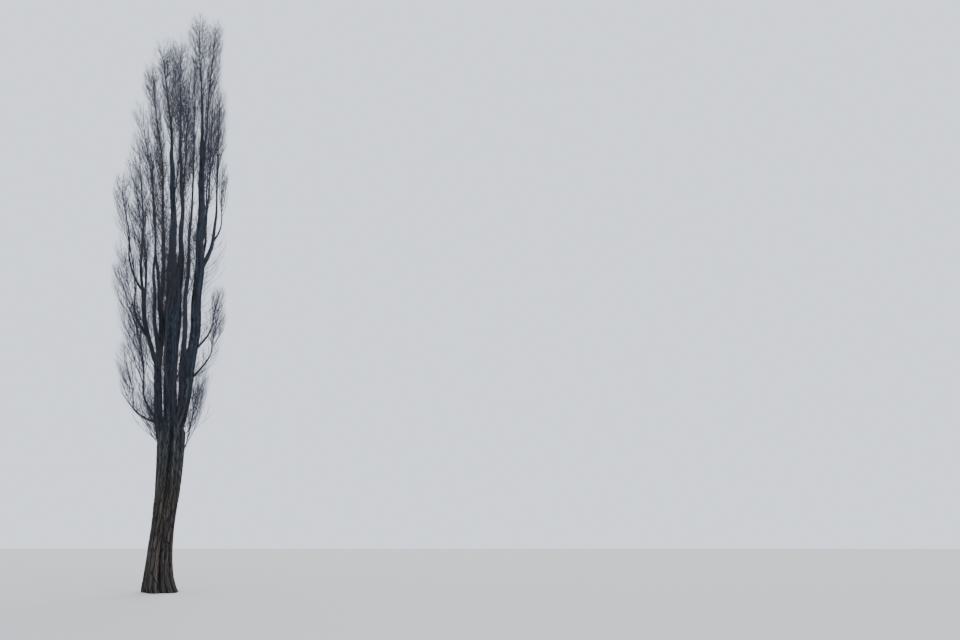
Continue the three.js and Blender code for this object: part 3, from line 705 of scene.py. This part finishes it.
def rings_round(middle, side, across, size, angle):
    """Rings of points about middle lines: the middle, plus the radius times the cosine of the
    angle to one side and times its sine across. The radius has a last axis for the place round
    the ring."""
    return middle[..., None, :] + size[..., None] * (
        np.cos(angle)[:, None] * side[..., None, :] + np.sin(angle)[:, None] * across[..., None, :])


def scattered(cell, use):
    """A repeatable 32-bit number for each lattice cell, from its three whole numbers."""
    i, j, k = (cell + LATTICE_MIDDLE).astype(np.uint64).T
    return stirred(i, j, k + np.uint64(use))


def cloud(points, use):
    """Smooth noise from 0 to 1: the numbers of a lattice cell's eight corners, blended by
    S-shaped shares of the way across the cell."""
    base = np.floor(points)
    part = points - base
    part = part * part * (3 - 2 * part)
    total = np.zeros(len(points))
    for corner in np.ndindex(2, 2, 2):
        weight = np.prod(np.where(corner, part, 1 - part), axis=1)
        total += weight * (scattered(base + corner, use) / 2.0 ** 32)
    return total


def plates(u, v, columns, use):
    """A lattice of cells that closes on itself after a whole number of columns, with one centre at
    a scattered place in each. The result is the distance to the second nearest centre less that
    to the nearest: 0 in the furrow between two plates of bark, growing to the middle of a plate.
    The nearest centre's own number comes with it. A centre's place across and up, and its own
    number, are ten bits each of its cell's scattered number."""
    near, next_near = np.full(len(u), np.inf), np.full(len(u), np.inf)
    own = np.zeros(len(u))
    for across, up in np.ndindex(3, 3):
        i, j = np.floor(u) + across - 1, np.floor(v) + up - 1
        h = scattered(np.stack([np.mod(i, columns), j, np.zeros(len(u))], axis=-1), use)
        away = np.hypot(u - i - (h & np.uint64(1023)) / 1023.0,
                        v - j - ((h >> np.uint64(10)) & np.uint64(1023)) / 1023.0)
        closer = away < near
        next_near = np.where(closer, near, np.minimum(next_near, away))
        own = np.where(closer, (h >> np.uint64(22)) / 1024.0, own)
        near = np.minimum(near, away)
    return next_near - near, own


def bark(angle, girth, along, spacing, use):
    """Relief of furrowed bark from 0 in a furrow to 1 on a ridge, round a limb of one girth: long
    plates that swing from side to side and meet as cloud noise shifts them, a little lower or
    higher each, with a finer grain on top. The plates' own numbers come with it."""
    columns = max(LEAST_PLATES_ROUND, round(2 * math.pi * girth / spacing))
    place = np.stack([girth * np.cos(angle), girth * np.sin(angle), along], axis=-1)
    swing = cloud(place / np.array(SWING_CELL) / spacing, use + 1) - 0.5
    wobble = cloud(place / np.array(WOBBLE_CELL) / spacing, use + 2) - 0.5
    u = angle / (2 * np.pi) * columns + SWING * swing + WOBBLE * wobble
    v = along / (spacing * PLATE_LENGTH) + SHIFT_ALONG * swing
    gap, own = plates(u, v, columns, use)
    grain = cloud(place / np.array(GRAIN_CELL), use + 3)
    relief = smooth(0.0, FURROW_SHARE, gap) * (LOWEST_PLATE + PLATE_STEP * own)
    return np.clip(relief * (GRAIN_MIDDLE + GRAIN_STEP * (grain - 0.5)), 0, 1), own


def ridges(phase, roundness, level):
    """How far ridges stand out: the size of a cosine to a power, less a level."""
    return np.abs(np.cos(phase)) ** roundness - level


def trunk_piece():
    """The trunk's surface on a grid of angle and height: the solid's radius, plus ribs and flutes,
    powers of cosines of the angle, that run up from the roots and fade, less two bell-shaped
    seams, front and back, that deepen toward the fork, plus the relief of old bark. It is flat at
    the ground."""
    angle = np.linspace(0, 2 * np.pi, TRUNK_AROUND, endpoint=False)
    height = TRUNK_TOP * np.linspace(0, 1, TRUNK_RINGS) ** RING_CROWDING
    a, z = (grid.ravel() for grid in np.meshgrid(angle, height))
    size = trunk_radius(a, z)
    x, y = size * np.cos(a), size * np.sin(a)
    cells = np.stack([x, y, z], axis=-1) / np.array(DRIFT_CELL)
    drift = cloud(cells, TRUNK_DRIFT_SEED) - 0.5
    sway = RIB_SWAY * np.sin(z / RIB_SWAY_HEIGHT)
    ribs = ridges(RIBS * a + RIB_DRIFT * drift + sway, RIB_ROUNDNESS, RIB_LEVEL)
    flutes = ridges(FLUTES * a - FLUTE_DRIFT * drift + FLUTE_TURN, FLUTE_ROUNDNESS, FLUTE_LEVEL)
    fade = RIB_KEPT + RIB_FADES * np.exp(-z / RIB_FADE_HEIGHT)
    relief, own = bark(a, WAIST_RADIUS, z, OLD_BARK_SPACING, TRUNK_BARK_SEED)
    head = 1 - smooth(FORK_HEIGHT + HEAD_ABOVE_FORK, TRUNK_TOP, z)
    turn = SEAM_TURN * smooth(SEAM_TURNS_FROM, FORK_HEIGHT, z) + SEAM_HEADING
    seam = np.exp(-(np.cos(a - np.radians(turn)) / SEAM_WIDTH) ** 2)
    seam = seam * smooth(*SEAM_HEIGHTS, z) * head
    size = size + head * (RIB_DEPTH * ribs + FLUTE_DEPTH * flutes) * fade - SEAM_DEPTH * seam
    kept = HEAD_BARK_SHARE + (1 - HEAD_BARK_SHARE) * head
    size = size + OLD_BARK_DEPTH * (relief - OLD_BARK_LEVEL) * kept
    rings = np.stack([trunk_centre(z) + size * np.cos(a), size * np.sin(a), z], axis=-1)
    rings = rings.reshape(TRUNK_RINGS, TRUNK_AROUND, 3)
    points, faces = closed_tube(rings, rings[0].mean(axis=0), rings[-1].mean(axis=0))
    # Painted shade: the rib value is lower between the ribs, in the flutes and in the seams, and
    # the bark is darkened there.
    rib = RIB_VALUE + (ribs * RIB_SHARE + flutes * FLUTE_SHARE) * fade - SEAM_SHARE * seam
    return bark_mesh("trunk_bark", points, faces, with_ends(relief),
                     with_ends(np.clip(rib, 0, 1)), with_ends(own), np.ones(len(points)))


def limb_piece(number, name, limb):
    """A limb's surface on a grid of angle and share of its height, along the solid's own middle
    line and at its radius: shallow ribs that run along it, the power of a cosine of the angle,
    soft lumps of cloud noise, and bark that is furrowed where the limb is stout and nearly smooth
    where it is thin."""
    foot_size = float(limb_radius(limb, FOOT_SHARE))
    around = int(np.clip(round(foot_size * LIMB_AROUND), *LIMB_AROUND_LIMITS))
    count = int(limb["rise"] / np.clip(foot_size * LIMB_STEP, *LIMB_STEP_LIMITS))
    t = np.linspace(0, 1, count) ** STEP_CROWDING
    angle = np.linspace(0, 2 * np.pi, around, endpoint=False)
    middle, side, across = (part[0] for part in limb["growth"].frames(t))
    length = np.concatenate([[0], np.cumsum(np.linalg.norm(np.diff(middle, axis=0), axis=1))])
    a, r = np.tile(angle, count), np.repeat(limb_radius(limb, t), around)
    s = np.repeat(length, around)
    x, y = r * np.cos(a), r * np.sin(a)
    place = np.stack([x, y, s], axis=-1)
    spacing = float(np.clip(foot_size * LIMB_BARK_SPACING, *SPACING_LIMITS))
    relief, own = bark(a, foot_size, s, spacing, LIMB_BARK_SEED + 5 * number)
    cells = place / np.array(LIMB_DRIFT_CELL) + np.array([number, 0, 0])
    drift = cloud(cells, LIMB_DRIFT_SEED) - 0.5
    phase = LIMB_RIBS * a + LIMB_RIB_DRIFT * drift + s / LIMB_RIB_TURN
    ribs = ridges(phase, RIB_ROUNDNESS, RIB_LEVEL)
    age = smooth(YOUNG_RADIUS, OLD_RADIUS, r)
    depth = np.clip(r * (YOUNG_DEPTH + DEPTH_WITH_AGE * age), *DEPTH_LIMITS)
    size = r + LIMB_RIB_DEPTH * r * ribs * age + depth * (relief - LIMB_BARK_LEVEL)
    lumps = cloud(place / np.array(LUMP_CELL), LUMP_SEED) - 0.5
    size = size * (1 + LIMB_LUMPS * lumps)
    rings = rings_round(middle, side, across, size.reshape(count, around), angle)
    points, faces = closed_tube(rings, middle[0], middle[-1])
    # Painted shade: the rib value is lower between the limb's ribs, and the bark is darkened there.
    rib = LIMB_RIB_VALUE + ribs * LIMB_RIB_SHARE * age
    return bark_mesh(name + "_bark", points, faces, with_ends(relief),
                     with_ends(np.clip(rib, 0, 1)), with_ends(own), with_ends(age))


def twig_rods(twigs, sides, steps, taper):
    """Many tapering rods at once, each a closed form: rings of points about the middle line whose
    radius falls from thick by the taper, a pointed tip and a flat foot. Points have the twig as
    their first axis. The faces are those of one rod."""
    t = np.arange(steps) / steps
    size = twigs.thick[:, None] * (1 - taper * t[None, :])
    angle = np.arange(sides) * 2 * np.pi / sides
    ring = rings_round(*twigs.growth.frames(t), size[:, :, None], angle)
    points = np.concatenate([ring.reshape(len(ring), -1, 3), twigs.growth.at([1.0])], axis=1)
    grid, beside, walls = tube_walls(steps, sides)
    point = np.stack([grid[-1], beside[-1], np.full(sides, steps * sides)], axis=-1)
    return points, [walls, point, grid[0][::-1][None]]


def crown_piece(name, masses, orders):
    """Rods of several orders of twig, those of some masses, joined as one mesh. Half the sprays
    have the first tone, three in ten the second and the rest the third."""
    vertices, faces, tones, start = [], {}, {}, 0
    for twigs, sides, steps, taper in orders:
        part = twigs.pick(np.isin(twigs.mass, masses))
        if not len(part.mass):
            continue
        points, shapes = twig_rods(part, sides, steps, taper)
        tone = np.searchsorted(TONE_SHARES, chance(part.spray, *TONE_DRAW))
        offset = start + np.arange(len(points)) * points.shape[1]
        for shape in shapes:
            corners = shape.shape[1]
            if len(shape):
                placed = shape[None] + offset[:, None, None]
                faces.setdefault(corners, []).append(placed.reshape(-1, corners))
                tones.setdefault(corners, []).append(np.repeat(tone, len(shape)))
        vertices.append(points.reshape(-1, 3))
        start += points.shape[0] * points.shape[1]
    kinds = sorted(faces)
    return make_mesh(name, np.vstack(vertices), [np.vstack(faces[key]) for key in kinds],
                     [np.concatenate(tones[key]) for key in kinds])


def stalk_piece():
    """The masses' stalks as eight-sided rods, each as thick at its foot as the limb it carries on,
    narrowing exponentially to the stalk's own taper, and slimmer still in the last quarter. Their
    bark is that of the limbs' own tips."""
    growth = joined_growth([mass["growth"] for mass in MASSES])
    growth.wander = np.full(len(MASSES), STALK_WANDER)  # those of the solids don't wander
    t = np.linspace(0, 1, STALK_RINGS)[:-1] ** STALK_CROWDING
    size = np.stack([stalk_radius(m, t) + m["swell"] * np.exp(-t * m["rise"] / SWELL_LENGTH)
                     for m in MASSES])
    size = size * (1 - TIP_SLIMNESS * smooth(SLIM_FROM, 1, t))
    angle = np.arange(STALK_SIDES) * 2 * np.pi / STALK_SIDES
    ring = rings_round(*growth.frames(t), size[:, :, None], angle)
    points, quads, fans, start = [], [], [], 0
    for rings, tip in zip(ring, growth.at([1.0])[:, 0]):
        own_points, (walls, caps) = closed_tube(rings, rings[0].mean(axis=0), tip)
        points.append(own_points)
        quads.append(walls + start)
        fans.append(caps + start)
        start += len(own_points)
    faces = [np.vstack(quads), np.vstack(fans)]
    # The stalks take the limbs' middle rib value, an even share of painted shade.
    values = (STALK_RELIEF, LIMB_RIB_VALUE, END_VALUE, 0)
    return bark_mesh("crown_stalks", np.vstack(points), faces,
                     *(np.full(start, value, float) for value in values))


# Where each mass goes: the crown's twigs are joined by the part of the crown they fill.
REGIONS = {
    "left_crown": ("left_stem", "left_bough", "left_upper_bough", "left_outer_bough"),
    "left_low_crown": ("left_low_bough", "left_foot_bough", "left_side_bough",
                       "front_low_left_bough", "back_low_left_bough", "back_left_bough"),
    "middle_crown": ("centre_stem", "fork_stem", "inner_stem", "front_left_bough"),
    "right_crown": ("right_leader", "right_upper_bough", "right_bough", "right_inner_bough",
                    "right_outer_bough", "trunk"),
    "right_low_crown": ("right_low_bough", "right_lowest_bough", "front_low_right_bough",
                        "back_low_right_bough", "front_right_bough", "back_right_bough"),
    "inner_crown": ("front_stem", "back_stem", "front_low_bough", "back_low_bough"),
}

trunk = trunk_piece()
limb_pieces = {name: limb_piece(i, name, limb) for i, (name, limb) in enumerate(LIMBS.items())}

larger = joined([twigs_of(i, mass) for i, mass in enumerate(MASSES)])
shoots = joined([limb_shoots(i, limb) for i, limb in enumerate(LIMBS.values())])
finer = joined([branched(larger, **BRANCHLETS), branched(shoots, **SHOOT_BRANCHLETS)])
sprigs = branched(finer, **SPRIGS)
# each order of twig, its sides, its rings and its taper
orders = [(larger, 5, 8, 0.75), (shoots, 4, 4, 0.7), (finer, 3, 3, 0.7), (sprigs, 3, 1, 0.6)]

crown_stalks = stalk_piece()
crown_pieces = []
for region, carriers in REGIONS.items():
    rows = [i for i, mass in enumerate(MASSES) if mass["limb"] in carriers]
    crown_pieces.append((crown_piece(region + "_twigs", rows, orders), rows))


# Materials

def linear(code):
    """A colour's sRGB hex turned to linear red, green, blue and alpha."""
    parts = [int(code[i:i + 2], 16) / 255 for i in (1, 3, 5)]
    return (*(c / 12.92 if c <= 0.04045 else ((c + 0.055) / 1.055) ** 2.4 for c in parts), 1)


def node(tree, kind, settings=None, **links):
    """Adds a node, sets its own settings, and sets or links each named input. An input with no
    name of its own is i and its number."""
    made = tree.nodes.new(kind)
    for key, value in (settings or {}).items():
        setattr(made, key, value)
    for key, value in links.items():
        numbered = key[0] == "i" and key[1:].isdigit()
        socket = made.inputs[int(key[1:]) if numbered else key.replace("_", " ")]
        if isinstance(value, bpy.types.NodeSocket):
            tree.links.new(value, socket)
        else:
            socket.default_value = value
    return made


def new_material(name):
    """An empty node material, its tree, and the place on the object for its patterns."""
    made = bpy.data.materials.new(name)
    made.use_nodes = True
    made.node_tree.nodes.clear()
    return made, made.node_tree, node(made.node_tree, "ShaderNodeTexCoord").outputs["Object"]


def noise(tree, place, **settings):
    """Cloud noise."""
    return node(tree, "ShaderNodeTexNoise", Vector=place, **settings).outputs[0]


def mapped(tree, value, low, high, to_low=0.0, to_high=1.0):
    """A value between low and high mapped to another range, and held at the ends of that."""
    return node(tree, "ShaderNodeMapRange", Value=value, From_Min=low, From_Max=high,
                To_Min=to_low, To_Max=to_high).outputs[0]


def ramp(tree, value, dark, pale, low=0.0, high=1.0):
    """A colour that goes from dark to pale as the value goes from low to high."""
    made = node(tree, "ShaderNodeValToRGB", Fac=value)
    first, last = made.color_ramp.elements
    first.color, last.color = linear(dark), linear(pale)
    first.position, last.position = low, high
    return made.outputs[0]


def blended(tree, share, first, second, kind="MIX"):
    """Two colours blended by the second one's share."""
    return node(tree, "ShaderNodeMix", {"data_type": "RGBA", "blend_type": kind}, i0=share,
                i6=first, i7=second).outputs[2]


def surfaced(tree, **inputs):
    """Gives a material its surface."""
    surface = node(tree, "ShaderNodeBsdfPrincipled", **inputs).outputs[0]
    node(tree, "ShaderNodeOutputMaterial", Surface=surface)


# Old poplar bark: dull, dry, deeply furrowed cork that is grey-brown on the ridges and nearly
# black in the furrows, bluer higher up, where a blue cast of shade is painted into its colour, and
# smoother and greyer on younger limbs. Its fibres are drawn about 14 mm wide and 80 mm long, far
# coarser than real ones, so that they show.
poplar_bark, tree, place = new_material("poplar_bark")
relief, rib, plate, age = (
    node(tree, "ShaderNodeAttribute", {"attribute_name": name}).outputs["Fac"]
    for name in ("relief", "rib", "plate", "age"))
stretched = node(tree, "ShaderNodeMapping", Vector=place, Scale=(1, 1, 0.18)).outputs[0]
grain = noise(tree, stretched, Scale=70.0, Detail=6.0, Roughness=0.65)
patches = noise(tree, place, Scale=1.6, Detail=3.0, Roughness=0.6)
height = node(tree, "ShaderNodeSeparateXYZ", Vector=place).outputs[2]
low_colour = ramp(tree, plate, "#37332f", "#554e46")
# Painted shade: higher up, the bark takes a blue cast of shade, painted into its colour.
high_blue_shade_colour = ramp(tree, plate, "#3b4651", "#505f6d")
young_colour = ramp(tree, grain, "#373c45", "#4f5560", 0.3, 0.72)
old_colour = blended(tree, mapped(tree, height, 3.0, 8.5), low_colour, high_blue_shade_colour)
ridge_colour = blended(tree, age, young_colour, old_colour)
furrow_share = node(tree, "ShaderNodeMath", {"operation": "MULTIPLY"}, i1=age,
                    i0=mapped(tree, relief, 0.05, 0.75, 1.0, 0.0)).outputs[0]
furrowed = blended(tree, furrow_share, ridge_colour, linear("#1a1a1b"))
green_share = mapped(tree, patches, 0.5, 0.8, 0.0, 0.45)
mossed = blended(tree, green_share, furrowed, linear("#3d3f35"))
# Painted shade: the bark is darkened where the rib value is low, between the ribs, in the flutes
# and in the seams.
hollow_shade_share = mapped(tree, rib, 0.15, 0.9, 0.9, 0.0)
shaded = blended(tree, hollow_shade_share, mossed, linear("#6a6a6a"), "MULTIPLY")
fibred = blended(tree, 0.55, shaded, mapped(tree, grain, 0.32, 0.68), "OVERLAY")
bump = node(tree, "ShaderNodeBump", Height=grain, Strength=0.85, Distance=0.012).outputs[0]
surfaced(tree, Base_Color=fibred, Roughness=mapped(tree, grain, 0.0, 1.0, 0.8, 1.0), Normal=bump,
         Specular_IOR_Level=0.2)

# Young poplar twigs: thin bark, dull and slightly waxy, from grey-brown to a warmer brown, mottled
# every 6 mm or so.
twig_materials = []
for name, colour in (("grey_twig_bark", "#3e4150"), ("brown_twig_bark", "#443e3f"),
                     ("weathered_twig_bark", "#303341")):
    material, tree, place = new_material(name)
    mottle = noise(tree, place, Scale=180.0, Detail=3.0)
    bump = node(tree, "ShaderNodeBump", Height=mottle, Strength=0.3, Distance=0.001).outputs[0]
    rough = mapped(tree, mottle, 0.0, 1.0, 0.62, 0.85)
    surfaced(tree, Base_Color=linear(colour), Roughness=rough, Normal=bump, Specular_IOR_Level=0.3)
    twig_materials.append(material)

for piece in (trunk, *limb_pieces.values(), crown_stalks):
    piece.data.materials.append(poplar_bark)
for piece, _ in crown_pieces:
    for material in twig_materials:
        piece.data.materials.append(material)

# What each piece rides on and stands for
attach(trunk, "root")
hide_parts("trunk")
for name, piece in limb_pieces.items():
    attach(piece, "root")
    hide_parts(name)
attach(crown_stalks, "root")
for piece, rows in crown_pieces:
    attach(piece, "root")
    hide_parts(*(MASSES[i]["node"] for i in rows))

# The plain pale floor, so wide that its edge is the horizon
bpy.ops.mesh.primitive_plane_add(size=FLOOR_SIZE, location=(0, 0, 0))
floor = bpy.context.object
floor.name = "floor"
matt_floor, tree, place = new_material("matt_pale_floor")
speckle = noise(tree, place, Scale=0.8, Detail=3.0)
rough = mapped(tree, speckle, 0.0, 1.0, 0.85, 0.95)
surfaced(tree, Base_Color=linear("#d2d1cc"), Roughness=rough)
floor.data.materials.append(matt_floor)

# Soft light: an even pale surround and a broad sun from behind
world = bpy.data.worlds.new("pale_surround")
world.use_nodes = True
surround = world.node_tree.nodes["Background"]
surround.inputs["Color"].default_value = linear("#ccd2e0")
surround.inputs["Strength"].default_value = SURROUND_STRENGTH
bpy.context.scene.world = world
sun = bpy.data.lights.new("broad_sun", "SUN")
sun.energy, sun.angle, sun.color = SUN_STRENGTH, math.radians(SUN_WIDTH), linear("#fff4e2")[:3]
lamp = bpy.data.objects.new("broad_sun", sun)
lamp.rotation_euler = (math.radians(SUN_TILT), math.radians(SUN_TURN), 0)
bpy.context.scene.collection.objects.link(lamp)

# The camera stands 20 m in front and 2.8 m to the right of the trunk, at eye height, looks
# straight ahead and up by 24.5 degrees, and shifts its frame to hold the tree at the left.
camera = bpy.data.objects.new("camera", bpy.data.cameras.new("camera"))
camera.location = CAMERA_PLACE
camera.rotation_euler = (math.radians(90 + CAMERA_PITCH), 0, 0)
camera.data.sensor_width = SENSOR_WIDTH
camera.data.lens = SENSOR_WIDTH * FOCAL_PIXELS / FRAME_PIXELS
camera.data.shift_x = CAMERA_SHIFT
camera.data.clip_start, camera.data.clip_end = 0.1, 2000
bpy.context.scene.collection.objects.link(camera)
bpy.context.scene.camera = camera
